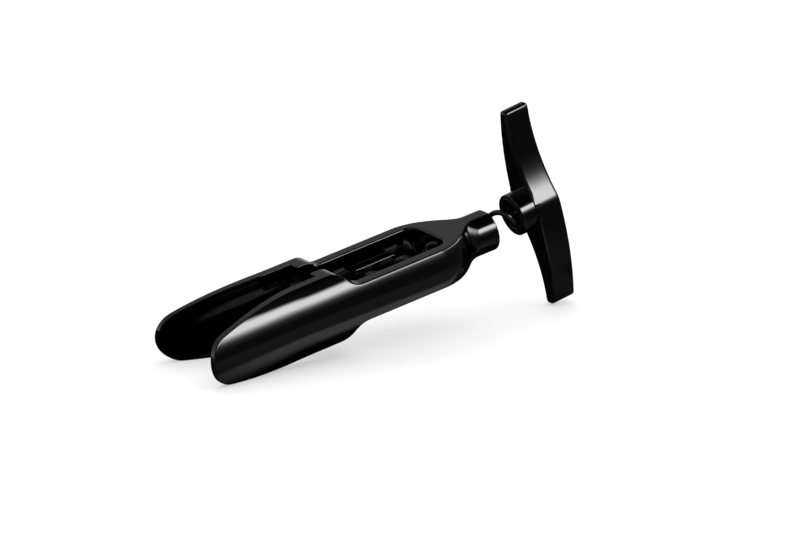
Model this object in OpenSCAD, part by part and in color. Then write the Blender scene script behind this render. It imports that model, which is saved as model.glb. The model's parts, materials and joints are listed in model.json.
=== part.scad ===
// Two-legged corkscrew: a split frame that grips the bottle's neck, and a T-handle that turns a long worm
// through the frame's collar. It lies as it is put down: on its two legs and on the lower end of the handle.
// Millimetres. Each piece is drawn about the frame's axis (+Z from the leg tips to the handle, +Y the front)
// and is then laid down, so that +X runs from the legs to the handle and +Z is up from the table.

/* [Legs] */
// Outer radius of the legs and rails
leg_r = 18; // [16:0.1:22]
// Thickness of a leg's shell
leg_wall = 2.2; // [1.6:0.1:3]
// Length of the legs from their tips to the shelf that stops on the bottle's mouth
leg_len = 55; // [50:0.5:60]
// How far each leg splays outwards, in degrees
leg_flare = 3.2; // [0:0.1:5]
// Length of the straight socket between the splay and the shelf
socket_len = 12; // [8:0.5:20]
// Half of the depth between a leg's front and back rims
rim_half = 13.6; // [11:0.1:14.5]
// Radius of the long curve that narrows the rims towards the tip
rim_curve_r = 160; // [120:1:240]
// Length of the straight rims between that curve and the shelf
rim_straight = 11.5; // [8:0.5:20]

/* [Bottle stop] */
// Radius of the hole that the cork is drawn through
cork_r = 12.2; // [10:0.1:14]
// Length of the cork hole behind the shelf
cork_hole_len = 11; // [6:0.5:14]
// Length of the cone that widens the cork hole to the window
cork_cone_len = 3.4; // [1:0.1:6]
// Width of the slots that part the two legs
slot_w = 9; // [4:0.5:12]

/* [Rails and window] */
// Depth of the rails, crown and collar from front to back
rail_depth = 15; // [13:0.1:18]
// Distance from the shelf to the start of the step down to the rails
step_after = 3.2; // [1:0.1:8]
// Length of the step
step_len = 11.5; // [8:0.1:14]
// Inner radius of the rails
window_r = 14.1; // [12:0.1:15]
// Length of the window from the step to its end wall
window_len = 40.8; // [32:0.1:48]
// Radius of the window's inner corners
window_corner_r = 3; // [1:0.1:5]
// Distance from the middle of the cork ribs to the window's end wall
rib_back = 16.8; // [12:0.1:22]
// Length of a cork rib
rib_len = 17.5; // [8:0.5:20]
// Thickness of a cork rib
rib_w = 2.4; // [1:0.1:4]
// Distance of a cork rib's edge from the axis
rib_reach = 9.8; // [8:0.1:12]

/* [Crown and collar] */
// Distance from the start of the shoulder to the window's end wall
shoulder_back = 6.6; // [4:0.1:10]
// Radius of the shoulder's outward curve
shoulder_r = 20; // [12:0.5:24]
// Slope at the end of that curve, in degrees
shoulder_angle = 33; // [28:0.5:36]
// Slope at the start of the hollow curve to the collar, in degrees
neck_angle = 39; // [37:0.5:44]
// Radius of that hollow curve
neck_r = 10; // [6:0.5:12]
// Radius of the collar
collar_r = 8; // [7.6:0.1:10]
// Length of the collar's straight stretch
collar_len = 8.4; // [6:0.1:16]

/* [Worm] */
// Outer diameter of the worm
worm_d = 9.6; // [8:0.1:10]
// Thickness of the worm's wire
wire_d = 2.1; // [1.6:0.1:3]
// Advance of the worm in one turn
worm_pitch = 14.3; // [9:0.1:16]
// Length of the worm from the hub's face to its point
worm_len = 124; // [90:1:130]
// Length of the point's taper, along the axis
point_len = 7; // [3:0.5:12]
// Distance from the hub's face to the first crest at the front
first_crest = 5.5; // [0:0.1:14]
// Tilt of the worm in its loose guide, in degrees
worm_tilt = 3.7; // [0:0.1:4]
// Room between the tilted worm and its guide
guide_clear = 0.15; // [0.1:0.05:0.4]

/* [Handle] */
// Length of the handle from tip to tip
handle_len = 80; // [66:0.5:90]
// Thickness of the handle along the axis
handle_t = 11.1; // [8:0.1:13]
// Radius of the handle's hub
hub_r = 8.2; // [7.8:0.1:10]
// Length of the hub below the arms
hub_len = 6.4; // [5:0.1:10]
// Distance from the arm's middle line to the outer side of its tip
tip_back_x = 1.6; // [0:0.1:3]
// Radius of the rounding at an arm's tip
tip_r = 1.6; // [0.5:0.1:1.7]
// Distance from the arm's middle line to the deepest point of the hollow in its inner side
hollow_x = 1.45; // [0.5:0.05:3]
// Distance from the arm's end to that point
hollow_back = 11.3; // [8:0.1:14]
// Radius of the crest where the hollow runs into the hub's side
crest_r = 20; // [16:0.5:28]
// How far the handle is turned from the upright, in degrees
handle_turn = 3.2; // [0:0.1:15]
// Gap between the hub and the collar along the worm
rest_gap = 11.2; // [2:0.1:30]

/* [Hub pieces] */
// Outer radius of the thrust ring
ring_r = 7; // [6.7:0.05:7.4]
// Thickness of the thrust ring
ring_t = 2; // [1.2:0.1:3]
// How far the thrust ring stands out of the hub
ring_proud = 0.3; // [0.1:0.05:0.6]
// Radial room round the thrust ring
ring_clear = 0.05; // [0.02:0.01:0.1]
// Radial room between the worm and the hub's hole
hub_hole_clear = 0.25; // [0.15:0.05:0.5]
// Depth of the anchor's face below the hub's face
anchor_at = 6; // [4:0.5:8]
// Length of the worm's anchor in the hub
anchor_len = 7; // [4:0.5:8]
// How far the worm's root is set into the anchor
root_len = 4; // [2:0.5:6]
// Radial room round the anchor
anchor_clear = 0.03; // [0.01:0.01:0.1]

/* [Hidden] */
$fn = 160;

plastic = "#1b1b1c";
coating = "#26262a";
ring_grey = "#3a3a3d";

// Reach of a cut past the face that it opens
past = 1;
// Arcs that run into each other lap by this much, so that they cross at a clear point
lap = 0.004;
// The rounding of an arm's tip laps the arm's outer curve by this much
tip_lap = 0.1;
// Room that holds the whole frame crosswise
frame_room = 4 * leg_r;

// Places along the frame, from the leg tips
flare_len = leg_len - socket_len;
rim_curve_len = leg_len - rim_straight;
step_at = leg_len + step_after;
step_end = step_at + step_len;
window_end = step_end + window_len;
rib_at = window_end - rib_back;
shoulder_at = window_end - shoulder_back;

rail_half = rail_depth / 2;
flare_rise = tan(leg_flare);

// The tip's round joins the rims' long curve without a corner
rim_centre_y = rim_curve_r - rim_half;
tip_round_r = (rim_curve_r ^ 2 - rim_centre_y ^ 2 - rim_curve_len ^ 2) / (2 * (rim_curve_r - rim_curve_len));
join_angle = atan2(rim_curve_len - tip_round_r, rim_centre_y);
join_at = rim_curve_len - rim_curve_r * sin(join_angle);

// The step is two equal arcs that meet half way
step_drop = rim_half - rail_half;
step_middle = (rim_half + rail_half) / 2;
step_r = (step_drop ^ 2 + step_len ^ 2) / (4 * step_drop);

// The shoulder is a round, a slope that is nearly straight and a hollow, each running into the next
shoulder_drop = shoulder_r * (1 - cos(shoulder_angle));
neck_drop = neck_r * (1 - cos(neck_angle));
slope_drop = leg_r - collar_r - shoulder_drop - neck_drop;
slope_r = slope_drop / (cos(shoulder_angle) - cos(neck_angle));
slope_from = shoulder_at + shoulder_r * sin(shoulder_angle);
slope_to = slope_from + slope_r * (sin(neck_angle) - sin(shoulder_angle));
collar_at = slope_to + neck_r * sin(neck_angle);
collar_end = collar_at + collar_len;

// The worm tilts about the middle of its guide, which is just wide enough for that
guide_half = (collar_end - window_end) / 2;
tilt_at = window_end + guide_half;
worm_r = worm_d / 2;
guide_r = worm_r / cos(worm_tilt) + guide_half * tan(worm_tilt) + guide_clear;

hub_at = collar_end + rest_gap;
arm_at = hub_at + hub_len;
arm_half = handle_len / 2;
tip_y = arm_half - tip_r;
tip_outer_x = tip_back_x - tip_r + tip_lap;
hub_hole_r = worm_r + hub_hole_clear;

// Radius of an arc that turns aside by a rise over a run
function arc_r(run, rise) = (run ^ 2 + rise ^ 2) / (2 * rise);

// An arm's outer curve runs from the hub's side to its tip. On the other side the hollow touches the crest
// and the tip's rounding, so the centres lie the sum of the radii apart.
arm_back_r = arc_r(tip_y, hub_r - tip_back_x);
hollow_at = arm_half - hollow_back;
crest_rise = crest_r - hub_r + hollow_x;
touch_r = (crest_rise ^ 2 + hollow_at ^ 2 - crest_r ^ 2) / (2 * (crest_r - crest_rise));
crest_end = crest_r * hollow_at / (touch_r + crest_r);
hollow_r = touch_r + lap;
hollow_centre_x = -hollow_x - touch_r;
tip_inner_x = hollow_centre_x + sqrt((touch_r + tip_r) ^ 2 - (tip_y - hollow_at) ^ 2);
tip_touch = tip_y - tip_r * (tip_y - hollow_at) / (touch_r + tip_r);
arm_reach = tip_y * cos(handle_turn) - tip_inner_x * sin(handle_turn) + tip_r;

wire_r = wire_d / 2;
coil_r = worm_r - wire_r;
worm_tip_at = hub_at - worm_len;
worm_root_at = hub_at + anchor_at + root_len;
crest_at = hub_at - first_crest;
turn_rings = 20;
wire_sides = 10;
half_turn = 180;
// The point is a little blunt, as if cut this far short of the taper's end
point_cut = 0.6;
// Share of a turn past which a stretch of the wire counts as the next turn
next_turn = 0.6;

// The lean: the legs' rims and the lower tip of the handle stand on the table. With the leg's lowest point on
// a circle of radius r, p * cos(lean) - q * sin(lean) = r, where p and q depend on the circle's centre.
tip_reach = tilt_at + (arm_at - tilt_at) * cos(worm_tilt) + arm_reach * sin(worm_tilt);
tip_drop = arm_reach * cos(worm_tilt) - (arm_at - tilt_at) * sin(worm_tilt);

function lean_on(centre_at, centre_y, r) =
    let(p = tip_drop + centre_y, q = tip_reach - centre_at)
    acos(r / norm([p, q])) - atan2(q, p);

rim_lean = lean_on(rim_curve_len, rim_centre_y, rim_curve_r);
round_lean = lean_on(tip_round_r, 0, tip_round_r);
lean = rim_lean < join_angle ? rim_lean : round_lean;
lift = tip_drop * cos(lean) - tip_reach * sin(lean);

// The part's middle in X lies at the origin
leg_end_x = tip_round_r * cos(lean) - tip_round_r;
arm_top = arm_at + handle_t - tilt_at;
arm_end_x = tilt_at * cos(lean) + arm_top * cos(lean + worm_tilt) + arm_reach * sin(lean + worm_tilt);
middle_x = (leg_end_x + arm_end_x) / 2;

// Lays the frame down at its lean
module laid_down() {
    translate([-middle_x, 0, lift]) rotate([0, -lean, 0]) rotate([90, 0, 90]) children();
}

// Tilts what the guide holds loosely
module tilted() {
    translate([0, 0, tilt_at]) rotate([-worm_tilt, 0, 0]) translate([0, 0, -tilt_at]) children();
}

// Side view of the frame: distance from the tips along X, front and back along Y
module side_outline() {
    translate([tip_round_r, 0]) circle(tip_round_r);
    intersection() {
        translate([rim_curve_len, -rim_centre_y]) circle(rim_curve_r);
        translate([rim_curve_len, rim_centre_y]) circle(rim_curve_r);
        translate([join_at, -rim_half]) square([rim_curve_len + past - join_at, 2 * rim_half]);
    }
    translate([rim_curve_len, -rim_half]) square([step_at - rim_curve_len, 2 * rim_half]);
    for (side = [-1, 1]) translate([step_at, side * (rim_half - step_r)]) circle(step_r);
    difference() {
        translate([step_at - past, -step_middle]) square([step_len + past, 2 * step_middle]);
        for (side = [-1, 1]) translate([step_end, side * (rail_half + step_r)]) circle(step_r + lap);
    }
    translate([step_at - past, -rail_half]) square([collar_end - step_at + past, rail_depth]);
}

// Half section of the frame's outside: radius along X, distance from the tips along Y
module outer_section() {
    difference() {
        union() {
            polygon([
                [0, 0],
                [leg_r + flare_len * flare_rise, 0],
                [leg_r, flare_len],
                [leg_r, shoulder_at],
                [leg_r - shoulder_drop, slope_from],
                [collar_r + neck_drop, slope_to],
                [collar_r, collar_at],
                [collar_r, collar_end],
                [0, collar_end]
            ]);
            intersection() {
                translate([leg_r - shoulder_r, shoulder_at]) circle(shoulder_r + lap);
                translate([0, shoulder_at]) square([leg_r, slope_from + past - shoulder_at]);
            }
            intersection() {
                translate([leg_r - shoulder_drop, slope_from])
                    translate(-slope_r * [cos(shoulder_angle), sin(shoulder_angle)])
                    circle(slope_r);
                translate([0, slope_from]) square([leg_r, slope_to - slope_from]);
            }
        }
        translate([collar_r + neck_r, collar_at]) circle(neck_r + lap);
    }
}

// Half section of the room for the bottle's neck, the cork and the worm
module inner_section() {
    neck_room_r = leg_r - leg_wall;
    cone_at = leg_len + cork_hole_len;
    straight_end = window_end - window_corner_r;
    polygon([
        [0, -past],
        [neck_room_r + (flare_len + past) * flare_rise, -past],
        [neck_room_r, flare_len],
        [neck_room_r, leg_len],
        [cork_r, leg_len],
        [cork_r, cone_at],
        [window_r, cone_at + cork_cone_len],
        [window_r, straight_end],
        [0, straight_end]
    ]);
    translate([0, straight_end - past]) square([window_r - window_corner_r, window_corner_r + past]);
    translate([window_r - window_corner_r, straight_end]) circle(window_corner_r);
    translate([0, window_end - past]) square([guide_r, collar_end - window_end + 2 * past]);
}

// The bar inside each rail that keeps the drawn cork from turning
module cork_rib() {
    translate([rib_reach, 0, rib_at]) rotate([0, 90, 0]) linear_extrude((leg_r + window_r) / 2 - rib_reach) {
        square([rib_len - rib_w, rib_w], center = true);
        for (end = [-1, 1]) translate([end * (rib_len - rib_w) / 2, 0]) circle(rib_w / 2);
    }
}

// Both halves in one, with the slots that part the legs
module whole_frame() {
    difference() {
        intersection() {
            rotate_extrude() outer_section();
            rotate([0, -90, 0]) linear_extrude(frame_room, center = true) side_outline();
        }
        rotate_extrude() inner_section();
        translate([-slot_w / 2, -frame_room / 2, leg_len - past])
            cube([slot_w, frame_room, step_end - leg_len + past]);
    }
}

// One moulding: leg, rail and half of the crown and collar, up to the seam in the middle
module frame_half() {
    color(plastic) union() {
        intersection() {
            whole_frame();
            translate([0, -frame_room / 2, -past]) cube([frame_room, frame_room, collar_end + 2 * past]);
        }
        cork_rib();
    }
}

module frame_left() {
    laid_down() frame_half();
}

module frame_right() {
    laid_down() mirror([1, 0, 0]) frame_half();
}

// The ring in the hub's mouth that bears on the collar while the handle turns
module thrust_ring() {
    color(ring_grey) laid_down() tilted() translate([0, 0, hub_at - ring_proud]) difference() {
        cylinder(h = ring_t, r = ring_r);
        translate([0, 0, -past]) cylinder(h = ring_t + 2 * past, r = hub_hole_r);
    }
}

// Plan of the arm above the axis, bowed out to +X: a crest by the hub, then a hollow and a rounded tip
module arm_plan() {
    intersection() {
        translate([hub_r - arm_back_r, 0]) circle(arm_back_r);
        union() {
            intersection() {
                translate([crest_r - hub_r, 0]) circle(crest_r);
                translate([-2 * hub_r, 0]) square([4 * hub_r, crest_end + past]);
            }
            difference() {
                union() {
                    translate([-hub_r, crest_end]) square([2 * hub_r, tip_touch - crest_end]);
                    translate([tip_inner_x, crest_end]) square([hub_r, tip_y - crest_end]);
                    for (x = [tip_inner_x, tip_outer_x]) translate([x, tip_y]) circle(tip_r);
                    translate([tip_inner_x, tip_y - past]) square([tip_outer_x - tip_inner_x, tip_r + past]);
                }
                translate([hollow_centre_x, hollow_at]) circle(hollow_r);
            }
        }
    }
}

module handle() {
    color(plastic) laid_down() tilted() translate([0, 0, hub_at]) rotate([0, 0, -handle_turn]) difference() {
        union() {
            cylinder(h = hub_len + handle_t, r = hub_r);
            translate([0, 0, hub_len]) linear_extrude(handle_t)
                for (at = [0, half_turn]) rotate(at) arm_plan();
        }
        translate([0, 0, -past]) cylinder(h = past + ring_t - ring_proud, r = ring_r + ring_clear);
        translate([0, 0, -past]) cylinder(h = past + anchor_at + anchor_len, r = hub_hole_r);
    }
}

// The plug that holds the worm's root in the hub
module worm_anchor() {
    color(ring_grey) laid_down() tilted() translate([0, 0, hub_at + anchor_at])
        cylinder(h = anchor_len, r = hub_hole_r - anchor_clear);
}

// Middle line of the worm's wire at a place along the axis, a right-hand helix
function coil_angle(at) = 90 + 360 * (at - crest_at) / worm_pitch;
function coil_point(at) = [coil_r * cos(coil_angle(at)), coil_r * sin(coil_angle(at)), at];

// Thickness of the wire there: round, and drawn out to the point
function wire_at(at) = wire_r * min(1, (at - worm_tip_at + point_cut) / point_len);

// A ring of points round the wire, square to it
function wire_ring(at) =
    let(
        a = coil_angle(at),
        rise = atan2(worm_pitch, 360 * coil_r * PI / 180),
        out = [cos(a), sin(a), 0],
        across = [sin(a) * sin(rise), -cos(a) * sin(rise), cos(rise)]
    )
    [for (k = [0:wire_sides - 1])
        let(turn = 360 * k / wire_sides)
        coil_point(at) + wire_at(at) * (cos(turn) * out + sin(turn) * across)];

// Least gap between one turn of the wire and the next, measured on points of its middle line
ring_count = ceil((worm_root_at - worm_tip_at) / worm_pitch * turn_rings);
ring_step = (worm_root_at - worm_tip_at) / ring_count;
wire_line = [for (i = [0:ring_count]) coil_point(worm_tip_at + i * ring_step)];
turn_gap = min([for (i = [0:ring_count - turn_rings], j = [i + floor(turn_rings * next_turn):ring_count])
    norm(wire_line[i] - wire_line[j])]) - wire_d;
echo(worm_turn_gap = turn_gap);

module worm() {
    points = [for (i = [0:ring_count], p = wire_ring(worm_tip_at + i * ring_step)) p];
    sides = [for (i = [0:ring_count - 1], k = [0:wire_sides - 1])
        let(a = i * wire_sides + k, b = i * wire_sides + (k + 1) % wire_sides)
        each [[a, b, a + wire_sides], [b, b + wire_sides, a + wire_sides]]];
    ends = [for (k = [1:wire_sides - 2])
        each [[0, k + 1, k], ring_count * wire_sides * [1, 1, 1] + [0, k, k + 1]]];
    color(coating) laid_down() tilted() polyhedron(points, concat(sides, ends));
}

frame_left();
frame_right();
thrust_ring();
handle();
worm_anchor();
worm();
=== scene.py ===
"""Looks of the two-legged corkscrew: polished black mouldings, a coated wire worm and a white table.

Shapes are worked out in millimetres in the object's own axes: x to the left leg, y to the front, and u from
the leg tips to the handle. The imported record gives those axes, and each piece is moved to the shared frame in
metres. The camera, the lamps and the table are placed in that frame.
"""
import json
import math

import bmesh
import bpy
import numpy as np
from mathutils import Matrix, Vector


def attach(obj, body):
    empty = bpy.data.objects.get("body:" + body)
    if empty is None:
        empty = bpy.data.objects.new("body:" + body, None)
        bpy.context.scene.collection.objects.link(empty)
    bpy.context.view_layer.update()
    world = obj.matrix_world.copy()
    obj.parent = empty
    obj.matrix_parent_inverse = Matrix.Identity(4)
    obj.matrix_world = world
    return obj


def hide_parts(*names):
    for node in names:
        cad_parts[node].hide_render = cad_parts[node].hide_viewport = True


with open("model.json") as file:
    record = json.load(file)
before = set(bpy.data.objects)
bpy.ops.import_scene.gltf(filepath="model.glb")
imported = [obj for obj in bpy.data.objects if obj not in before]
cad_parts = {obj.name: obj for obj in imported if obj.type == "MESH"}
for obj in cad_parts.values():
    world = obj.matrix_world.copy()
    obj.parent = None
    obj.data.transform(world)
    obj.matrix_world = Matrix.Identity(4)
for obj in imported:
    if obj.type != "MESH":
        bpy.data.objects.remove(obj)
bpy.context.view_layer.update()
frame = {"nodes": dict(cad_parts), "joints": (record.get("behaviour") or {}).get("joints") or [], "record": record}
record = frame["record"]
MM = 0.001
RIGHT_ANGLE = math.pi / 2

# Legs: radius, wall, splay, side outline of the rims, and how the grid bends round the tips
LEG_R = 18.4
LEG_WALL = 2.5
FLARE = math.tan(math.radians(3.2))
FLARE_LEN = 43.0
FLARE_EASE = 2.0
RIM_HALF = 13.6
RIM_CURVE_R = 160.0
RIM_CURVE_LEN = 43.5
TIP_SPREAD = math.radians(72.0)
TIP_BEND = 26.0

# Bottle stop: shelf, cork hole, the cone that opens to the cork room, and the slots beside the hole
SHELF_AT = 55.0
CORK_R = 12.2
CONE_AT = 66.0
CONE_END = 69.4
SLOT_HALF = 4.5

# Rails, window and cork ribs
RAIL_HALF = 7.5
STEP_AT = 58.2
STEP_LEN = 11.5
WINDOW_R = 13.8
WINDOW_END = 111.0
WINDOW_CORNER_R = 4.5
RIB_AT = 90.8
RIB_LEN = 18.9
RIB_W = 2.4
RIB_REACH = 8.9
RIB_FOOT = 15.0
RIB_DEEP = 0.2
RIB_WAIST = 0.6

# Crown and collar
SHOULDER_AT = 103.9
SHOULDER_R = 20.0
SHOULDER_ANGLE = math.radians(33.0)
NECK_ANGLE = math.radians(39.0)
NECK_R = 10.0
COLLAR_R = 8.0
COLLAR_LEN = 7.85
GUIDE_R = 5.776

# Worm
WORM_R = 4.8
WIRE_R = 1.05
WORM_PITCH = 14.3
WORM_LEN = 124.0
WORM_ROOT = 10.0
POINT_LEN = 7.0
POINT_CUT = 0.6
FIRST_CREST = 5.5

# Handle and hub
HANDLE_HALF = 40.0
HANDLE_T = 11.1
HANDLE_TURN = math.radians(-3.2)
HUB_R = 8.2
HUB_LEN = 6.4
HUB_SINK = 1.0
HUB_FLUSH = 3.0
HUB_EASE = 4.0
TIP_BACK_X = 1.6
TIP_R = 1.6
TIP_LAP = 0.1
HOLLOW_X = 1.7
HOLLOW_BACK = 11.3
CREST_R = 9.0
ARM_HALF = 8.6

# Thrust ring in the hub
RING_R = 7.0
RING_T = 2.0
RING_PROUD = 0.3
RING_SEAT_R = 7.05
HUB_HOLE_R = 5.05

# Roundings of the moulded edges
RIM_ROUND = 0.5
RAIL_ROUND = 0.8
CROWN_ROUND = 1.2
COLLAR_ROUND = 3.5
RIM_INNER_ROUND = 0.22
EDGE_ROUND = 0.4
WINDOW_ROUND = 0.6
SEAM_ROUND = 0.05
ARM_ROUND = 1.4
RIB_ROUND = 0.5
HUB_ROUND = 0.5
RING_ROUND = 0.25

# Fineness of the grids: points across a skin, over a rounded edge and round the axis, then rows along u
ACROSS = 33
ROUND_STEPS = 5
TURN_STEPS = 97
LEG_ROWS = 44
SHELF_ROWS = 4
CORK_ROWS = 3
STEP_ROWS = 16
CONE_ROWS = 8
RAIL_ROWS = 24
SHOULDER_ROWS = 3
CORNER_ROWS = 9
WINDOW_END_ROWS = 10
CROWN_ROWS = 4
SLOPE_ROWS = 6
NECK_ROWS = 12
COLLAR_ROWS = 7
RIB_STEPS = 13
ARM_STEPS = 80
TIP_STEPS = 12
RINGS_PER_TURN = 48
WIRE_SIDES = 24
QUARTERS = (0.25, 0.5, 0.75)
QUARTER_TURN = np.linspace(0, RIGHT_ANGLE, ROUND_STEPS)

# How far before the shelf the leg's last row lies, its splay ends, and the outer row at the corner lies
LEG_TO = 0.4
SPLAY_TO = 0.3
SHELF_FROM = 0.2

# Where the outer rows lie past the shelf and past the window's end, while the inner rows go round the edges
SHELF_SPAN = np.array([0.0, 0.6])
CORK_EDGE_SPAN = np.array([0.6, 1.0])
CORK_FROM = 1.4
CORNER_LAG = 0.2
WINDOW_END_SPAN = np.array([0.4, 2.0])
GUIDE_EDGE_SPAN = np.array([2.1, 2.7])
CROWN_FROM = 3.0

# Where the guide's inner rows start, past its rounded edge
GUIDE_FROM = 0.3

# Share of the inner skin that the bore takes where a slot has flat walls, and the least wall that counts
WALL_FROM = 0.8125
LEAST_WALL = 0.05

# Limits that keep the sums sound, and those of the meshes (weld in metres)
SLOPE_STEP = 1e-3
LEAST_ANGLE = 1e-4
LEAST_LENGTH = 1e-9
LEAST_SINE = 0.05
MOST_SINE = 0.999
WELD = 2e-7
SHARP_ANGLE = math.radians(50.0)

# The axes of the frame and of the worm, from the record's mounts and joints
GRIP_AT = 50.0
mounts = {m["name"]: m for m in record["mounts"]}
turn = next(j for j in frame["joints"] if j["name"] == "handle_turn")
along = -np.array(mounts["neck_grip"]["axis"], float)
front = np.array(mounts["front_flat"]["axis"], float)
left = np.cross(front, along)
tips = np.array(mounts["neck_grip"]["pos_m"], float) - GRIP_AT * MM * along
worm_along = np.array(turn["axis"], float)
worm_front = np.cross(worm_along, left)
hub_place = np.array(turn["pos_m"], float)

# The frame's outlines, worked out as arcs that run into each other
RIM_CENTRE = RIM_CURVE_R - RIM_HALF
TIP_ROUND = (RIM_CURVE_R ** 2 - RIM_CENTRE ** 2 - RIM_CURVE_LEN ** 2) / (2 * (RIM_CURVE_R - RIM_CURVE_LEN))
JOIN_ANGLE = math.atan2(RIM_CURVE_LEN - TIP_ROUND, RIM_CENTRE)
JOIN_AT = RIM_CURVE_LEN - RIM_CURVE_R * math.sin(JOIN_ANGLE)
STEP_END = STEP_AT + STEP_LEN
STEP_DROP = RIM_HALF - RAIL_HALF
STEP_R = (STEP_DROP ** 2 + STEP_LEN ** 2) / (4 * STEP_DROP)
SHOULDER_DROP = SHOULDER_R * (1 - math.cos(SHOULDER_ANGLE))
NECK_DROP = NECK_R * (1 - math.cos(NECK_ANGLE))
SLOPE_DROP = LEG_R - COLLAR_R - SHOULDER_DROP - NECK_DROP
SLOPE_R = SLOPE_DROP / (math.cos(SHOULDER_ANGLE) - math.cos(NECK_ANGLE))
SLOPE_FROM = SHOULDER_AT + SHOULDER_R * math.sin(SHOULDER_ANGLE)
SLOPE_TO = SLOPE_FROM + SLOPE_R * (math.sin(NECK_ANGLE) - math.sin(SHOULDER_ANGLE))
COLLAR_AT = SLOPE_TO + NECK_R * math.sin(NECK_ANGLE)
COLLAR_END = COLLAR_AT + COLLAR_LEN

# Camera: a long lens at the photograph's angle
CAMERA_AZIMUTH = math.radians(-33.344)
CAMERA_ELEVATION = math.radians(17.392)
CAMERA_DISTANCE = 2.957
CAMERA_LENS = 360.0
CAMERA_SENSOR = 36.0
CAMERA_REACH = 20.0
CAMERA_AIM = Vector((0.00567, -0.00472, 0.02736))

# Lamps: the power of their fade at the bottom, the dim light that stays there, and the level of a dimmed side
LAMP_POWER = 5
LAMP_FOOT = 0.06
DIM_SIDE = 0.35

# Black plastic: tone, blue in it, lift of the drifting tone, roughness, and sizes of the patterns
BLACK_TONE = 0.0005
BLACK_BLUE = 1.04
DRIFT_LIFT = 1.6
DRIFT_BLUE = 1.05
BLACK_ROUGHNESS = 0.04
ROUGHNESS_DRIFT = 0.02
FRAME_SWIRL = 40.0
HANDLE_SWIRL = 55.0
HAZE_FINER = 9

# Grained finishes: two tones and the roughness of the wire's coating and of the ring, and what the grain adds
WIRE_TONE = 0.003
WIRE_PALE = 0.006
WIRE_ROUGHNESS = 0.13
RING_TONE = 0.001
RING_PALE = 0.002
RING_ROUGHNESS = 0.24
ROUGHNESS_GRAIN = 0.06

# Table: half size, colour, and how far the camera sees its shadow eased to white
TABLE_HALF = 3.0
TABLE_WHITE = 0.9
SHADE_EASE = 0.45

# The table's colour in the object's gloss, painted: dark, with painted shadow under the object,
# a painted dim reflection ahead of it, and a painted brighter oval there
GLOSS_DARK = 0.007
AHEAD_FROM = -0.016
AHEAD_TO = -0.028
AHEAD_LEVEL = 0.04
NEAR_LEVEL = 0.085
NEAR_PLACE = (0.01, -0.05, 0.0)
NEAR_SIZE = (0.1, 0.06, 1.0)

# Where the painted light of an oval starts to fade and where it ends, in shares of the oval's half size
OVAL_IN = 0.5
OVAL_OUT = 1.3

# Painted pools of light in that gloss, ovals painted into the table's colour:
# each by its middle, half size, turn and level
RAIL_POOL = ((-0.01, -0.0275, 0.0), (0.075, 0.0075, 1.0), math.radians(-3.2), 0.58)
BACK_POOL = ((-0.03, 0.03, 0.0), (0.04, 0.009, 1.0), 0.0, 0.58)
LEGS_POOL = ((-0.033, -0.0005, 0.0), (0.022, 0.006, 1.0), 0.0, 0.62)
HANDLE_POOL = ((0.084, -0.012, 0.0), (0.012, 0.014, 1.0), 0.0, 0.08)
CORNER_POOL = ((0.115, 0.08, 0.0), (0.04, 0.045, 1.0), 0.0, 0.08)

# Room round the object: levels of its parts, and where each fades in along its own coordinate
ROOM_LEVEL = 0.015
WALL_LEVEL = 0.055
BACKDROP_LEVEL = 0.23
HORIZON_LEVEL = 0.7
LEFT_LEVEL = 0.4
SHADE_LEVEL = 0.6
BACK_FADE = (0.3, 0.8)
LEFT_FADE = (-0.3, -0.85)
HORIZON_FADE = (0.45, 0.0)
CEILING_FADE = (0.9, 0.75)


def on_frame(p):
    """Frame millimetres (x, y, u) to the shared frame: tips + x left + y front + u along, in metres."""
    return tips + MM * (p[..., :1] * left + p[..., 1:2] * front + p[..., 2:] * along)


def on_worm(p):
    """Millimetres about the worm's axis, with u from the hub's face, to the shared frame in metres."""
    return hub_place + MM * (p[..., :1] * left + p[..., 1:2] * worm_front + p[..., 2:] * worm_along)


def turned(p, angle):
    """Points turned about the u axis."""
    c, s = math.cos(angle), math.sin(angle)
    return np.stack([c * p[..., 0] - s * p[..., 1], s * p[..., 0] + c * p[..., 1], p[..., 2]], -1)


def mirrored(shapes):
    """The same shapes for the right half, with x the other way."""
    return [s * np.array([-1, 1, 1]) for s in shapes]


def piece(name, patches, fills, body, node, finish):
    """One closed mesh from grids of points (rows, columns, 3) and single faces, welded along shared edges."""
    points, faces, start = [], [], 0
    for grid in patches:
        rows, cols = grid.shape[:2]
        index = start + np.arange(rows * cols).reshape(rows, cols)
        quads = np.stack([index[:-1, :-1], index[:-1, 1:], index[1:, 1:], index[1:, :-1]], -1)
        points.append(grid.reshape(-1, 3))
        faces += quads.reshape(-1, 4).tolist()
        start += rows * cols
    for ring in fills:
        points.append(ring)
        faces.append(list(range(start, start + len(ring))))
        start += len(ring)
    mesh = bpy.data.meshes.new(name)
    mesh.from_pydata(np.concatenate(points).tolist(), [], faces)
    work = bmesh.new()
    work.from_mesh(mesh)
    bmesh.ops.remove_doubles(work, verts=work.verts, dist=WELD)
    bmesh.ops.dissolve_degenerate(work, edges=work.edges, dist=WELD)
    bmesh.ops.recalc_face_normals(work, faces=work.faces)
    for face in work.faces:
        face.smooth = True
    work.to_mesh(mesh)
    work.free()
    mesh.set_sharp_from_angle(angle=SHARP_ANGLE)
    made = bpy.data.objects.new(name, mesh)
    bpy.context.scene.collection.objects.link(made)
    weigh = made.modifiers.new("flat_faces", "WEIGHTED_NORMAL")
    weigh.keep_sharp = True
    mesh.materials.append(finish)
    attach(made, body)
    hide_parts(node)


def round_over(a, b, count):
    """Unit vectors that turn evenly from a to b: (sin((1 - t) w) a + sin(t w) b) / sin w, w their angle."""
    w = np.arccos(np.clip((a * b).sum(-1), -1, 1))[..., None, None]
    w = np.maximum(w, LEAST_ANGLE)
    t = np.linspace(0, 1, count)[:, None]
    return (np.sin((1 - t) * w) * a[..., None, :] + np.sin(t * w) * b[..., None, :]) / np.sin(w)


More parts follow.
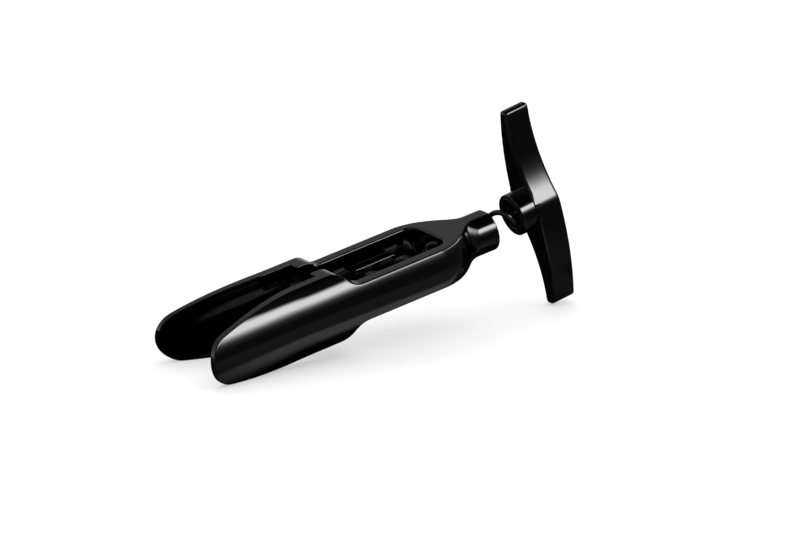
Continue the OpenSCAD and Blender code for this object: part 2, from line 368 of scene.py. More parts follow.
def root(value):
    """Square root that stays at zero below zero."""
    return np.sqrt(np.clip(value, 0, None))


def eased(value):
    """A smooth rise: t t (3 - 2 t), with t the value held between 0 and 1."""
    t = np.clip(value, 0, 1)
    return t * t * (3 - 2 * t)


def closed_wall(rings):
    """Rings of points, each closed on its first point, as the rows of one grid."""
    return np.stack([np.concatenate([r, r[:1]]) for r in rings])


def half_depth(u):
    """Half of the frame's depth at u: round tip, long rim curve, straight rim, the step's two arcs, rail."""
    tip = root(TIP_ROUND ** 2 - (u - TIP_ROUND) ** 2)
    rim = root(RIM_CURVE_R ** 2 - (u - RIM_CURVE_LEN) ** 2) - RIM_CENTRE
    high = RIM_HALF - STEP_R + root(STEP_R ** 2 - (u - STEP_AT) ** 2)
    low = RAIL_HALF + STEP_R - root(STEP_R ** 2 - (STEP_END - u) ** 2)
    where = [u < JOIN_AT, u < RIM_CURVE_LEN, u < STEP_AT, u < STEP_AT + STEP_LEN / 2, u < STEP_END]
    return np.select(where, [tip, rim, np.full_like(u, RIM_HALF), high, low], RAIL_HALF)


def rim_normal(u):
    """Outward direction (y, u) of the side outline: the slope of half_depth turned by a right angle."""
    slope = (half_depth(u + SLOPE_STEP) - half_depth(u - SLOPE_STEP)) / (2 * SLOPE_STEP)
    size = np.sqrt(1 + slope ** 2)
    return 1 / size, -slope / size


def flare(u):
    """How far the splay moves the legs out at u: a line that eases to zero at the flare's end."""
    return FLARE * FLARE_EASE * np.logaddexp(0, (FLARE_LEN - u) / FLARE_EASE)


def outer_radius(u):
    """Outer radius at u: splayed leg, straight rail, round shoulder, slope, hollow neck, collar."""
    shoulder = LEG_R - SHOULDER_R + root(SHOULDER_R ** 2 - (u - SHOULDER_AT) ** 2)
    across = u - SLOPE_FROM + SLOPE_R * math.sin(SHOULDER_ANGLE)
    slope = LEG_R - SHOULDER_DROP - SLOPE_R * math.cos(SHOULDER_ANGLE) + root(SLOPE_R ** 2 - across ** 2)
    neck = COLLAR_R + NECK_R - root(NECK_R ** 2 - (COLLAR_AT - u) ** 2)
    where = [u < SHOULDER_AT, u < SLOPE_FROM, u < SLOPE_TO, u < COLLAR_AT]
    return np.select(where, [LEG_R + flare(u), shoulder, slope, neck], COLLAR_R)


def outer_round(u):
    """Rounding of the frame's outer edge at u: fine on the legs, wider to the crown, widest on the collar."""
    places = [STEP_AT, STEP_END, SHOULDER_AT, SLOPE_TO]
    below = np.interp(u, places, [RIM_ROUND, RAIL_ROUND, RAIL_ROUND, CROWN_ROUND])
    return below + (COLLAR_ROUND - CROWN_ROUND) * eased((u - SLOPE_TO) / (COLLAR_AT - SLOPE_TO))


def stations(outer_u, inner_u, inner_r, slot, tilt, inner_round):
    """One row per station along the frame, from arrays or single values.

    A station has its u on the outer and on the inner skin, the inner radius, the slot's half width, the tilt
    of the inner skin (0 along u, a right angle across it) and the rounding of the inner edge.
    """
    return np.stack(np.broadcast_arrays(outer_u, inner_u, inner_r, slot, tilt, inner_round), -1)


def run(count, outer_u, inner_u, inner_r, slot, tilt, inner_round):
    """Stations that go evenly from each pair's first value towards its second; a single value stays."""
    t = np.linspace(0, 1, count, endpoint=False)
    pairs = [np.broadcast_to(v, 2) for v in (outer_u, inner_u, inner_r, slot, tilt, inner_round)]
    return stations(*[a + (b - a) * t for a, b in pairs])


def straight_run(count, start, end, inner_r, slot, inner_round):
    """Stations that lie at the same u on both skins."""
    return run(count, (start, end), (start, end), inner_r, slot, 0, inner_round)


def edge_run(outer_u, corner_u, corner_r, slot, inner_round):
    """Stations over a rounded inner edge at (corner_r, corner_u): the tilt goes from a right angle to 0."""
    tilt = QUARTER_TURN[::-1]
    grow = EDGE_ROUND * (1 - np.cos(tilt))
    inner_u = corner_u + EDGE_ROUND * (1 - np.sin(tilt))
    return stations(np.linspace(*outer_u, ROUND_STEPS), inner_u, corner_r + grow, slot + grow, tilt,
                    np.linspace(*inner_round, ROUND_STEPS))


def leg_stations():
    """The leg from its tip to the shelf, the shelf in to the cork hole, and the hole's rounded edge."""
    inside_r = LEG_R - LEG_WALL
    shelf_slot = SLOT_HALF + EDGE_ROUND
    u = np.linspace(TIP_ROUND * (1 - math.cos(TIP_SPREAD)), SHELF_AT - LEG_TO, LEG_ROWS)
    return [
        stations(u, u, inside_r + flare(u), 0, 0, RIM_INNER_ROUND),
        run(1, SHELF_AT - SHELF_FROM, SHELF_AT, inside_r, shelf_slot, 0, RIM_INNER_ROUND),
        run(SHELF_ROWS, SHELF_AT + SHELF_SPAN, SHELF_AT, (inside_r, CORK_R + EDGE_ROUND), shelf_slot,
            RIGHT_ANGLE, EDGE_ROUND),
        edge_run(SHELF_AT + CORK_EDGE_SPAN, SHELF_AT, CORK_R, SLOT_HALF, (EDGE_ROUND, EDGE_ROUND)),
    ]


def window_stations():
    """The cork hole, its cone, the rail beside the window, and the window's end in to the guide's edge."""
    corner_r = WINDOW_R - WINDOW_CORNER_R
    corner_u = WINDOW_END - WINDOW_CORNER_R
    bend = np.linspace(0, RIGHT_ANGLE, CORNER_ROWS)
    corner_out = np.linspace(corner_u, WINDOW_END, CORNER_ROWS) + CORNER_LAG
    return [
        straight_run(CORK_ROWS, SHELF_AT + CORK_FROM, STEP_AT, CORK_R, SLOT_HALF, EDGE_ROUND),
        straight_run(STEP_ROWS, STEP_AT, CONE_AT, CORK_R, SLOT_HALF, (EDGE_ROUND, WINDOW_ROUND)),
        straight_run(CONE_ROWS, CONE_AT, CONE_END, (CORK_R, WINDOW_R), SLOT_HALF, WINDOW_ROUND),
        straight_run(RAIL_ROWS, CONE_END, SHOULDER_AT, WINDOW_R, 0, WINDOW_ROUND),
        straight_run(SHOULDER_ROWS, SHOULDER_AT, corner_u, WINDOW_R, 0, WINDOW_ROUND),
        stations(corner_out, corner_u + WINDOW_CORNER_R * np.sin(bend),
                 corner_r + WINDOW_CORNER_R * np.cos(bend), 0, bend, WINDOW_ROUND),
        run(WINDOW_END_ROWS, WINDOW_END + WINDOW_END_SPAN, WINDOW_END, (corner_r, GUIDE_R + EDGE_ROUND), 0,
            RIGHT_ANGLE, WINDOW_ROUND),
        edge_run(WINDOW_END + GUIDE_EDGE_SPAN, WINDOW_END, GUIDE_R, 0, (WINDOW_ROUND, SEAM_ROUND)),
    ]


def crown_stations():
    """The crown over the worm's guide, the slope, the hollow neck and the collar, to its rounded end."""
    straight_end = COLLAR_END - EDGE_ROUND
    places = [WINDOW_END + CROWN_FROM, SLOPE_FROM, SLOPE_TO, COLLAR_AT, straight_end]
    counts = [CROWN_ROWS, SLOPE_ROWS, NECK_ROWS, COLLAR_ROWS]
    stretches = zip(places, places[1:], counts)
    outer_u = np.concatenate([np.linspace(a, b, count, endpoint=False) for a, b, count in stretches])
    guide_from = WINDOW_END + EDGE_ROUND + GUIDE_FROM
    inner_u = np.linspace(guide_from, straight_end, len(outer_u), endpoint=False)
    end_u = COLLAR_END - EDGE_ROUND * (1 - np.sin(QUARTER_TURN))
    end_r = GUIDE_R + EDGE_ROUND * (1 - np.cos(QUARTER_TURN))
    return [
        stations(outer_u, inner_u, GUIDE_R, 0, 0, SEAM_ROUND),
        stations(end_u, end_u, end_r, 0, 0, SEAM_ROUND),
    ]


def edge_sections(rim, normal, outer_r, inner_rim, inner_normal, inner_r, slot, tilt, inner_round):
    """Points from the outer skin over the rim to the inner skin, one row per station.

    A ball of the edge's rounding rolls along the edge, touching the rim and a skin. Its centre lies in from
    the rim by its radius, and at the skin's radius less (outer) or more (inner) by its own. The rounded edge
    is the arc about that centre from one touching direction to the other. The rims and their normals are
    given as (y, u).
    """
    size = outer_round(rim[:, 1])[:, None]
    y, u = (rim - size * normal).T
    radius = outer_r - size[:, 0]
    x = root(radius ** 2 - y ** 2)
    centre = np.stack([x, y, u], -1)
    skin = np.stack([x / radius, y / radius, 0 * x], -1)
    rim_way = np.stack([0 * x, *normal.T], -1)
    over = centre[:, None] + size[..., None] * round_over(skin, rim_way, ROUND_STEPS)

    size = inner_round[:, None]
    y, u = (inner_rim - size * inner_normal).T
    lean = np.cos(tilt)
    radius = inner_r + inner_round * lean
    wall = slot + inner_round * lean
    x = np.maximum(root(radius ** 2 - y ** 2), wall)
    on_wall = radius ** 2 - y ** 2 < wall ** 2
    size_xy = np.maximum(np.hypot(x, y), LEAST_LENGTH)
    away = np.where(on_wall[:, None], np.array([1.0, 0.0]), np.stack([x / size_xy, y / size_xy], -1))
    centre = np.stack([x, y, u], -1)
    skin = np.concatenate([-lean[:, None] * away, -np.sin(tilt)[:, None]], -1)
    rim_way = np.stack([0 * x, *inner_normal.T], -1)
    under = centre[:, None] + size[..., None] * round_over(rim_way, skin, ROUND_STEPS)

    share = np.array(QUARTERS)[:, None]
    flat = over[:, -1:] + (under[:, :1] - over[:, -1:]) * share
    return np.concatenate([over, flat, under], 1)


def spread(edge_y, radius):
    """Even angles across a skin: y = edge sin(a t) / sin a for t from -1 to 1, with sin a = edge / radius."""
    t = np.linspace(-1, 1, ACROSS)
    a = np.arcsin(np.clip(edge_y / radius, LEAST_SINE, MOST_SINE))[:, None]
    return edge_y[:, None] * np.sin(a * t) / np.sin(a)


def walled_spread(edge_y, radius, slot):
    """Places y across the inner skin: even angles in the bore, then even steps along the slot's flat wall."""
    t = np.linspace(-1, 1, ACROSS)
    crease = np.minimum(root(radius ** 2 - slot ** 2), edge_y)
    bore = np.arcsin(np.clip(crease / radius, 0, 1))[:, None]
    core = radius[:, None] * np.sin(bore * np.clip(t / WALL_FROM, -1, 1))
    beyond = (edge_y - crease)[:, None] * np.clip((np.abs(t) - WALL_FROM) / (1 - WALL_FROM), 0, 1)
    has_wall = (crease < edge_y - LEAST_WALL)[:, None]
    return np.where(has_wall, core + np.sign(t) * beyond, spread(edge_y, radius))


def skin_grid(edges, tip_row, radius_at, slot, y):
    """A skin as a grid over the side outline: x = sqrt(radius(u)^2 - y^2), or the slot's half if larger.

    Rows near the tip bend to follow its round end, and straighten over the leg's first stretch.
    """
    straight = eased((edges[:, 2] - edges[0, 2]) / TIP_BEND)[:, None]
    tip_y = tip_row[:, 1] / tip_row[-1, 1]
    y = (1 - straight) * edges[:, 1:2] * tip_y + straight * y
    u = edges[:, 2:] + (1 - straight) * (tip_row[:, 2] - tip_row[-1, 2])
    x = np.maximum(root(radius_at(u) ** 2 - y ** 2), slot[:, None])
    grid = np.stack([x, y, u], -1)
    grid[0] = tip_row
    grid[:, -1] = edges
    grid[:, 0] = edges * np.array([1, -1, 1])
    return grid


def frame_half_grids():
    """Outer skin, inner skin, rim band and end faces of the left half of the frame, in frame millimetres."""
    rows = np.concatenate(leg_stations() + window_stations() + crown_stations())
    out_u, in_u, in_r, slot, tilt, in_round = rows.T
    edge_u = in_u + in_round * np.sin(tilt)

    # How far the collar's rounded end draws the last stations in
    shrink = np.zeros(len(rows))
    shrink[-ROUND_STEPS:] = EDGE_ROUND * (1 - np.cos(QUARTER_TURN))

    # The sides: every station's rim place and direction
    rim = np.stack([half_depth(out_u) - shrink, out_u], -1)
    normal = np.stack(rim_normal(out_u), -1)
    inner_rim = np.stack([half_depth(edge_u) - shrink, edge_u], -1)
    inner_normal = np.stack(rim_normal(edge_u), -1)
    out_r = outer_radius(out_u) - shrink
    side = edge_sections(rim, normal, out_r, inner_rim, inner_normal, in_r, slot, tilt, in_round)

    # The tip: the same edge round the end of the leg
    a = np.linspace(-TIP_SPREAD, TIP_SPREAD, ACROSS)
    normal = np.stack([np.sin(a), -np.cos(a)], -1)
    rim = np.stack([TIP_ROUND * np.sin(a), TIP_ROUND * (1 - np.cos(a))], -1)
    tip_out_r = outer_radius(rim[:, 1])
    tip_in_r = LEG_R - LEG_WALL + flare(rim[:, 1])
    none = np.zeros(ACROSS)
    tip = edge_sections(rim, normal, tip_out_r, rim, normal, tip_in_r, none, none, none + RIM_INNER_ROUND)
    side[0] = tip[-1]

    def outer_at(u):
        """Outer radius over the grid, drawn in at the collar's end."""
        return outer_radius(u) - shrink[:, None]

    def inner_at(u):
        """Inner radius over the grid: that of the station, with the leg's splay at each point's own place."""
        own = in_r[:, None] + flare(u) - flare(in_u)[:, None]
        return np.where(u < SHELF_AT - SPLAY_TO, own, in_r[:, None])

    outer_edge, inner_edge = side[:, 0], side[:, -1]
    outer = skin_grid(outer_edge, tip[:, 0], outer_at, 0 * slot, spread(outer_edge[:, 1], out_r))
    inner = skin_grid(inner_edge, tip[:, -1], inner_at, slot, walled_spread(inner_edge[:, 1], in_r, slot))
    back = side * np.array([1, -1, 1])
    band = np.concatenate([back[:0:-1], tip, side[1:]])
    end = np.stack([outer[-1], inner[-1]])
    return [outer, inner, band, end], [side[-1], back[-1]]


def cork_rib():
    """The bar inside a rail: a slot-shaped outline along u, carried outwards along x into the rail.

    Its inner edge is a quarter round, and it grows slimmer by RIB_WAIST on each side towards its foot.
    """
    half_turn = np.linspace(-RIGHT_ANGLE, RIGHT_ANGLE, RIB_STEPS)
    a = np.concatenate([half_turn, half_turn + math.pi])
    ends = np.repeat([1, -1], RIB_STEPS) * (RIB_LEN - RIB_W) / 2
    outward = np.stack([np.sin(a), np.cos(a)], -1)
    line = np.stack([0 * a - RIB_DEEP, RIB_AT + ends], -1) + RIB_W / 2 * outward
    reach = RIB_REACH + RIB_ROUND * (1 - np.sin(QUARTER_TURN[::-1]))
    inset = RIB_ROUND * (1 - np.cos(QUARTER_TURN[::-1]))
    levels = [*zip(reach, inset), (RIB_FOOT, RIB_WAIST)]
    rings = [np.concatenate([np.full((len(a), 1), x), line - i * outward], -1) for x, i in levels]
    return [closed_wall(rings)], [rings[0], rings[-1]]


def arc_r(length, rise):
    """Radius of an arc that turns aside by a rise over a length."""
    return (length ** 2 + rise ** 2) / (2 * rise)


def arm_sides(y):
    """Right side x of the handle's plan at y: long outer curve and tip above; crest, hollow and tip below."""
    tip_y = HANDLE_HALF - TIP_R
    back_r = arc_r(tip_y, ARM_HALF - TIP_BACK_X)
    back = ARM_HALF - back_r + root(back_r ** 2 - y ** 2)
    tip = TIP_BACK_X - TIP_R + TIP_LAP + root(TIP_R ** 2 - (y - tip_y) ** 2)
    upper = np.where(y > tip_y, np.minimum(back, tip), back)

    down = -y
    hollow_at = HANDLE_HALF - HOLLOW_BACK
    rise = CREST_R - ARM_HALF + HOLLOW_X
    hollow_r = (rise ** 2 + hollow_at ** 2 - CREST_R ** 2) / (2 * (CREST_R - rise))
    crest = CREST_R - ARM_HALF - root(CREST_R ** 2 - down ** 2)
    hollow = -HOLLOW_X - hollow_r + root(hollow_r ** 2 - (down - hollow_at) ** 2)
    tip_x = -HOLLOW_X - hollow_r + root((hollow_r + TIP_R) ** 2 - (tip_y - hollow_at) ** 2)
    tip = tip_x - root(TIP_R ** 2 - (down - tip_y) ** 2)
    crest_end = CREST_R * hollow_at / (hollow_r + CREST_R)
    tip_from = tip_y - TIP_R * (tip_y - hollow_at) / (hollow_r + TIP_R)
    lower = -np.select([down < crest_end, down < tip_from], [crest, hollow], tip)
    return np.where(y > 0, upper, lower)


def handle_arms():
    """The T-handle's arms: its plan's outline carried along u, drawn in by a quarter round at both ends.

    The round next to the hub fades out beside it, so that the arms lie flush on the hub there.
    """
    tip_y = HANDLE_HALF - TIP_R
    body = np.linspace(0, tip_y, ARM_STEPS, endpoint=False)
    up = np.concatenate([body, tip_y + TIP_R * np.sin(np.linspace(0, RIGHT_ANGLE, TIP_STEPS))])
    y = np.concatenate([-up[:0:-1], up])
    right = np.stack([arm_sides(y), y], -1)
    outline = np.concatenate([right, -right])
    step = np.roll(outline, -1, 0) - np.roll(outline, 1, 0)
    outward = np.stack([step[:, 1], -step[:, 0]], -1) / np.linalg.norm(step, axis=1)[:, None]
    bend = np.linspace(0, RIGHT_ANGLE, ROUND_STEPS + 1)
    inset = ARM_ROUND * (1 - np.sin(bend))
    drop = ARM_ROUND * (1 - np.cos(bend))
    beside_hub = np.clip((np.abs(outline[:, 1:]) - HUB_FLUSH) / HUB_EASE, 0, 1)
    top = HUB_LEN + HANDLE_T
    levels = [(HUB_LEN + d * beside_hub, i * beside_hub) for d, i in zip(drop, inset)]
    levels += [(HUB_LEN + HANDLE_T * share, 0.0) for share in QUARTERS]
    levels += list(zip(top - drop[::-1], inset[::-1]))
    rings = [np.concatenate([outline - i * outward, z + 0 * outline[:, :1]], -1) for z, i in levels]
    half = len(right)
    caps = [np.stack([r[:half], r[half:][::-1]], 1) for r in (rings[0], rings[-1])]
    return [closed_wall(rings), *caps]


def revolved(profile):
    """A closed profile (r, u) carried once round the axis."""
    a = np.linspace(0, 2 * math.pi, TURN_STEPS)
    loop = np.concatenate([profile, profile[:1]])
    r, u = loop[:, 0][:, None], loop[:, 1][:, None]
    return np.stack([r * np.cos(a), r * np.sin(a), u + 0 * a], -1)


def rounded_profile(corners):
    """A closed outline through corners (r, u, rounding), each a quarter arc between its straight sides."""
    out = []
    for i, (r, u, size) in enumerate(corners):
        here = np.array([r, u])
        before = np.array(corners[i - 1][:2]) - here
        after = np.array(corners[(i + 1) % len(corners)][:2]) - here
        before = before / np.linalg.norm(before)
        after = after / np.linalg.norm(after)
        t = np.linspace(0, RIGHT_ANGLE, ROUND_STEPS if size else 1)[:, None]
        out.append(here + size * ((1 - np.sin(t)) * before + (1 - np.cos(t)) * after))
    return np.concatenate(out)


def hub_profile():
    """The hub's wall: rim, seat of the thrust ring, and the hole for the worm, up into the arms."""
    top = HUB_LEN + HUB_SINK
    seat = RING_T - RING_PROUD
    return rounded_profile([
        (HUB_R, top, 0), (HUB_R, 0, HUB_ROUND), (RING_SEAT_R, 0, RING_ROUND), (RING_SEAT_R, seat, 0),
        (HUB_HOLE_R, seat, RING_ROUND), (HUB_HOLE_R, top, 0),
    ])


def ring_profile():
    """The thrust ring: a flat ring with its two lower edges rounded."""
    low, high = -RING_PROUD, RING_T - RING_PROUD
    return rounded_profile([
        (RING_R, high, 0), (RING_R, low, RING_ROUND), (HUB_HOLE_R, low, RING_ROUND), (HUB_HOLE_R, high, 0),
    ])


def worm_tube():
    """A wire on a right-hand helix: a round section carried along it, square to it, drawn out to a point."""
    turns = (WORM_LEN + WORM_ROOT) / WORM_PITCH
    u = np.linspace(-WORM_LEN, WORM_ROOT, int(turns * RINGS_PER_TURN))[:, None]
    coil_r = WORM_R - WIRE_R
    a = RIGHT_ANGLE + 2 * math.pi * (u + FIRST_CREST) / WORM_PITCH
    rise = math.atan2(WORM_PITCH, 2 * math.pi * coil_r)
    thick = WIRE_R * np.minimum(1, (u + WORM_LEN + POINT_CUT) / POINT_LEN)
    k = np.linspace(0, 2 * math.pi, WIRE_SIDES + 1)
    radial = coil_r + thick * np.cos(k)
    side = thick * np.sin(k)
    x = radial * np.cos(a) + side * np.sin(a) * math.sin(rise)
    y = radial * np.sin(a) - side * np.cos(a) * math.sin(rise)
    grid = np.stack([x, y, u + side * math.cos(rise)], -1)
    return [grid], [grid[0, :-1], grid[-1, :-1]]


class Value:
    """A socket in an expression: an operator on it adds a Math node and gives that node's output."""

    def __init__(self, finish, socket):
        self.finish = finish
        self.socket = socket

    def maths(self, operation, first, second):
        return self.finish.add("ShaderNodeMath", {"operation": operation}, {0: first, 1: second})

    def __add__(self, other):
        return self.maths("ADD", self, other)

    def __radd__(self, other):
        return self.maths("ADD", other, self)

    def __sub__(self, other):
        return self.maths("SUBTRACT", self, other)

    def __rsub__(self, other):
        return self.maths("SUBTRACT", other, self)

    def __mul__(self, other):
        return self.maths("MULTIPLY", self, other)

    def __rmul__(self, other):
        return self.maths("MULTIPLY", other, self)

    def __pow__(self, other):
        return self.maths("POWER", self, other)

    def __rpow__(self, other):
        return self.maths("POWER", other, self)


class Finish:
    """Nodes of a material, lamp or world. add() makes any node, sets it, feeds it and gives one output."""

    def __init__(self, holder):
        holder.use_nodes = True
        self.tree = holder.node_tree
        self.tree.nodes.clear()

    def add(self, kind, settings=None, sockets=None, output=0):
        node = self.tree.nodes.new(kind)
        for key, value in (settings or {}).items():
            setattr(node, key, value)
        for key, value in (sockets or {}).items():
            if isinstance(value, Value):
                self.tree.links.new(value.socket, node.inputs[key])
            else:
                node.inputs[key].default_value = value
        return Value(self, node.outputs[output]) if len(node.outputs) else None


def coordinate(place, index):
    """One coordinate of a place: 0, 1 or 2 for x, y or z."""
    return place.finish.add("ShaderNodeSeparateXYZ", sockets={0: place}, output=index)


def fade(value, start, end, kind="SMOOTHSTEP"):
    """Zero at the start and one at the end, held beyond them."""
    sockets = {"Value": value, "From Min": start, "From Max": end}
    return value.finish.add("ShaderNodeMapRange", {"interpolation_type": kind}, sockets)


def clouds(place, scale, detail):
    """A noise pattern over a place."""
    return place.finish.add("ShaderNodeTexNoise", sockets={"Vector": place, "Scale": scale, "Detail": detail})


def mixed(share, first, second):
    """A colour that goes from the first to the second with a share."""
    sockets = {0: share, 6: first, 7: second}
    return share.finish.add("ShaderNodeMix", {"data_type": "RGBA"}, sockets, output=2)


def relief(height, strength, distance):
    """The normal of a surface with a fine relief."""
    sockets = {"Strength": strength, "Distance": distance, "Height": height}
    return height.finish.add("ShaderNodeBump", sockets=sockets)


def black(tone, blue=1.0):
    """A near-black colour, with its blue as a multiple of the rest."""
    return (tone, tone, blue * tone, 1)


def new_finish(name):
    """A material, its nodes and its Object coordinates."""
    material = bpy.data.materials.new(name)
    finish = Finish(material)
    return material, finish, finish.add("ShaderNodeTexCoord", output="Object")


def plain_surface(finish, sockets):
    """A Principled surface as the material's output."""
    shader = finish.add("ShaderNodeBsdfPrincipled", sockets=sockets)
    finish.add("ShaderNodeOutputMaterial", sockets={"Surface": shader})


def moulded_black(name, swirl_scale):
    """Polished black moulding: near-black that drifts a little, a fine ripple, and faint changes of gloss."""
    material, finish, place = new_finish(name)
    drift = clouds(place, scale=swirl_scale, detail=3.0)
    haze = clouds(place, scale=HAZE_FINER * swirl_scale, detail=4.0)
    ripple = clouds(place, scale=420.0, detail=2.0)
    plain_surface(finish, {
        "Base Color": mixed(drift, black(BLACK_TONE, BLACK_BLUE), black(DRIFT_LIFT * BLACK_TONE, DRIFT_BLUE)),
        "Roughness": BLACK_ROUGHNESS + ROUGHNESS_DRIFT * drift + ROUGHNESS_DRIFT * haze,
        "IOR": 1.5,
        "Normal": relief(ripple, strength=0.03, distance=0.0002),
    })
    return material


def coated_wire():
    """Non-stick black on steel wire: glossy, with a fine grain."""
    material, finish, place = new_finish("worm_coating")
    grain = clouds(place, scale=900.0, detail=3.0)
    plain_surface(finish, {
        "Base Color": mixed(grain, black(WIRE_TONE), black(WIRE_PALE)),
        "Roughness": WIRE_ROUGHNESS + ROUGHNESS_GRAIN * grain,
        "Normal": relief(grain, strength=0.06, distance=0.0001),
        "Coat Weight": 0.3,
    })
    return material


def satin_black():
    """Bearing plastic: satin black with a very fine grain."""
    material, finish, place = new_finish("ring_plastic")
    grain = clouds(place, scale=2500.0, detail=2.0)
    plain_surface(finish, {
        "Base Color": mixed(grain, black(RING_TONE), black(RING_PALE)),
        "Roughness": RING_ROUGHNESS + ROUGHNESS_GRAIN * grain,
        "Normal": relief(grain, strength=0.15, distance=0.0001),
    })
    return material


def direction(azimuth, elevation):
    """Unit vector from the object towards a place; azimuth 0 is -Y, and positive turns to +X."""
    level = math.cos(elevation)
    return Vector((math.sin(azimuth) * level, -math.cos(azimuth) * level, math.sin(elevation)))


def make_camera():
    """The camera, looking at its aim from the photograph's side."""
    data = bpy.data.cameras.new("camera")
    data.lens = CAMERA_LENS
    data.sensor_width = CAMERA_SENSOR
    data.clip_end = CAMERA_REACH
    camera = bpy.data.objects.new("camera", data)
    back = direction(CAMERA_AZIMUTH, CAMERA_ELEVATION)
    camera.location = CAMERA_AIM + CAMERA_DISTANCE * back
    camera.rotation_mode = "QUATERNION"
    camera.rotation_quaternion = (-back).to_track_quat("-Z", "Y")
    bpy.context.scene.collection.objects.link(camera)
    bpy.context.scene.camera = camera


def softbox(name, azimuth, elevation, distance, width, height, level, low_fade, high_fade, side_fade):
    """A rectangular lamp that faces the object.

    It fades over a share of its height at the bottom and at the top, and between two shares of its width it
    goes down to DIM_SIDE.
    """
    data = bpy.data.lights.new(name, "AREA")
    data.shape = "RECTANGLE"
    data.size = width
    data.size_y = height
    data.energy = level * math.pi * width * height
    finish = Finish(data)
    place = finish.add("ShaderNodeNewGeometry", output="Parametric")
    up = coordinate(place, 1)
    low = fade(up, 0.0, low_fade)
    high = fade(up, 1.0, 1.0 - high_fade)
    full_from, dim_from = side_fade
    side = fade(coordinate(place, 0), dim_from, full_from)
    strength = (low ** LAMP_POWER + LAMP_FOOT * low) * high * (DIM_SIDE + (1 - DIM_SIDE) * side)
    glow = finish.add("ShaderNodeEmission", sockets={"Strength": strength})
    finish.add("ShaderNodeOutputLight", sockets={"Surface": glow})
    lamp = bpy.data.objects.new(name, data)
    away = direction(math.radians(azimuth), math.radians(elevation))
    lamp.location = CAMERA_AIM + distance * away
    lamp.rotation_mode = "QUATERNION"
    lamp.rotation_quaternion = away.to_track_quat("Z", "Y")
    bpy.context.scene.collection.objects.link(lamp)
    return lamp


def oval(place, middle, half_size, angle=0.0):
    """A value of one in the middle of an oval on the table, fading to zero round its rim."""
    finish = place.finish
    from_middle = finish.add("ShaderNodeMapping", {"vector_type": "TEXTURE"}, {
        "Vector": place, "Location": middle, "Rotation": (0, 0, angle), "Scale": half_size,
    })
    reach = finish.add("ShaderNodeVectorMath", {"operation": "LENGTH"}, {0: from_middle}, output="Value")
    return fade(reach, OVAL_OUT, OVAL_IN)


def make_floor():
    """A white table, whose shadow is eased for the camera.

    In the object's gloss its colour is painted: dark, with painted shadow under the object, a painted dim
    reflection ahead of it, and painted pools of light along the rails, behind and between the legs, beside
    the handle and at the corner beyond it.
    """
    mesh = bpy.data.meshes.new("table_top")
    corners = [(x * TABLE_HALF, y * TABLE_HALF, 0) for x, y in ((-1, -1), (1, -1), (1, 1), (-1, 1))]
    mesh.from_pydata(corners, [], [(0, 1, 2, 3)])
    table = bpy.data.objects.new("table_top", mesh)
    bpy.context.scene.collection.objects.link(table)
    material, finish, place = new_finish("white_table")
    # Painted into the table's colour for glossy rays only: shadow under the object, a dim reflection ahead of it
    ahead = fade(coordinate(place, 1), AHEAD_FROM, AHEAD_TO, "LINEAR")
    painted_gloss = GLOSS_DARK + ahead * (AHEAD_LEVEL + NEAR_LEVEL * oval(place, NEAR_PLACE, NEAR_SIZE))
    # Painted pools of light, one oval each, added to the table's colour in gloss
    for middle, half_size, angle, level in (RAIL_POOL, BACK_POOL, LEGS_POOL, HANDLE_POOL, CORNER_POOL):
        painted_gloss = painted_gloss + level * oval(place, middle, half_size, angle)
    gloss_ray = finish.add("ShaderNodeLightPath", output="Is Glossy Ray")
    colour = TABLE_WHITE + gloss_ray * (painted_gloss - TABLE_WHITE)
    shade = finish.add("ShaderNodeBsdfDiffuse", sockets={"Color": colour})
    white = finish.add("ShaderNodeEmission", sockets={"Strength": 1.0})
    camera_ray = finish.add("ShaderNodeLightPath", output="Is Camera Ray")
    both = finish.add("ShaderNodeMixShader", sockets={0: SHADE_EASE * camera_ray, 1: shade, 2: white})
    finish.add("ShaderNodeOutputMaterial", sockets={"Surface": both})
    mesh.materials.append(material)


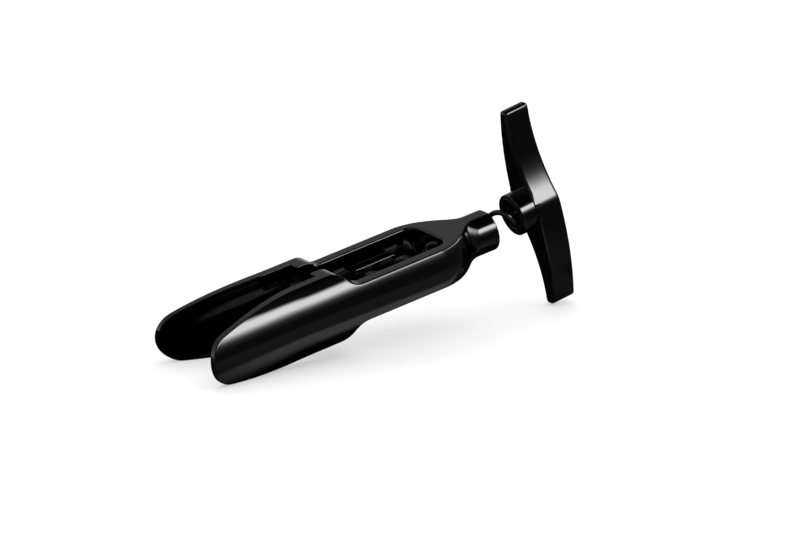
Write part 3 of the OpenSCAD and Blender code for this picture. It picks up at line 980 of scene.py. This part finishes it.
def make_world():
    """White for the camera. Otherwise a dim room, pale behind, most of all low down, and pale at the left."""
    world = bpy.data.worlds.new("studio")
    bpy.context.scene.world = world
    finish = Finish(world)
    way = finish.add("ShaderNodeTexCoord", output="Generated")
    left_side = fade(coordinate(way, 0), *LEFT_FADE)
    back = fade(coordinate(way, 1), *BACK_FADE)
    height = coordinate(way, 2)
    low = fade(height, *HORIZON_FADE, "LINEAR")
    high = fade(height, *CEILING_FADE)
    diffuse_ray = finish.add("ShaderNodeLightPath", output="Is Diffuse Ray")
    backdrop = back * (BACKDROP_LEVEL * high + HORIZON_LEVEL * low ** 2)
    walls = WALL_LEVEL * high + backdrop + LEFT_LEVEL * left_side * high
    level = ROOM_LEVEL + walls + SHADE_LEVEL * diffuse_ray
    room = finish.add("ShaderNodeBackground", sockets={"Color": (1, 1, 1, 1), "Strength": level})
    white = finish.add("ShaderNodeBackground", sockets={"Color": (1, 1, 1, 1), "Strength": 1.0})
    camera_ray = finish.add("ShaderNodeLightPath", output="Is Camera Ray")
    both = finish.add("ShaderNodeMixShader", sockets={0: camera_ray, 1: room, 2: white})
    finish.add("ShaderNodeOutputWorld", sockets={"Surface": both})


make_camera()
frame_finish = moulded_black("frame_plastic", FRAME_SWIRL)
handle_finish = moulded_black("handle_plastic", HANDLE_SWIRL)
wire_finish = coated_wire()
ring_finish = satin_black()

# The frame's two halves, each with its rib
half_grids, half_ends = frame_half_grids()
rib_grids, rib_ends = cork_rib()
grids, ends = half_grids + rib_grids, half_ends + rib_ends
piece("left_moulding", [on_frame(g) for g in grids], [on_frame(e) for e in ends],
      "frame", "frame_left", frame_finish)
piece("right_moulding", [on_frame(g) for g in mirrored(grids)], [on_frame(e) for e in mirrored(ends)],
      "frame", "frame_right", frame_finish)

# The handle with its hub, the ring in the hub, and the worm
handle_grids = [turned(g, HANDLE_TURN) for g in handle_arms()] + [revolved(hub_profile())]
piece("t_handle", [on_worm(g) for g in handle_grids], [],
      "handle_unit", "handle", handle_finish)
piece("bearing_ring", [on_worm(revolved(ring_profile()))], [],
      "thrust_ring", "thrust_ring", ring_finish)
worm_grids, worm_ends = worm_tube()
piece("worm_wire", [on_worm(g) for g in worm_grids], [on_worm(e) for e in worm_ends],
      "handle_unit", "worm", wire_finish)

# The anchor inside the hub stays the solid, with the ring's finish
anchor = frame["nodes"]["worm_anchor"]
anchor.data.materials.clear()
anchor.data.materials.append(ring_finish)

make_floor()
make_world()

# The key lamp is seen only in gloss. The fill only lights, and its side fade lies past its edge
key = softbox("key", azimuth=57, elevation=27.3, distance=0.9, width=1.45, height=0.753, level=14.8,
              low_fade=0.66, high_fade=0.2, side_fade=(0.26, 0.31))
key.visible_diffuse = False
fill = softbox("fill", azimuth=115, elevation=62, distance=3.0, width=5.0, height=5.0, level=1.5,
               low_fade=0.05, high_fade=0.05, side_fade=(1.0, 2.0))
fill.visible_glossy = False

scene = bpy.context.scene
scene.view_settings.view_transform = "Standard"
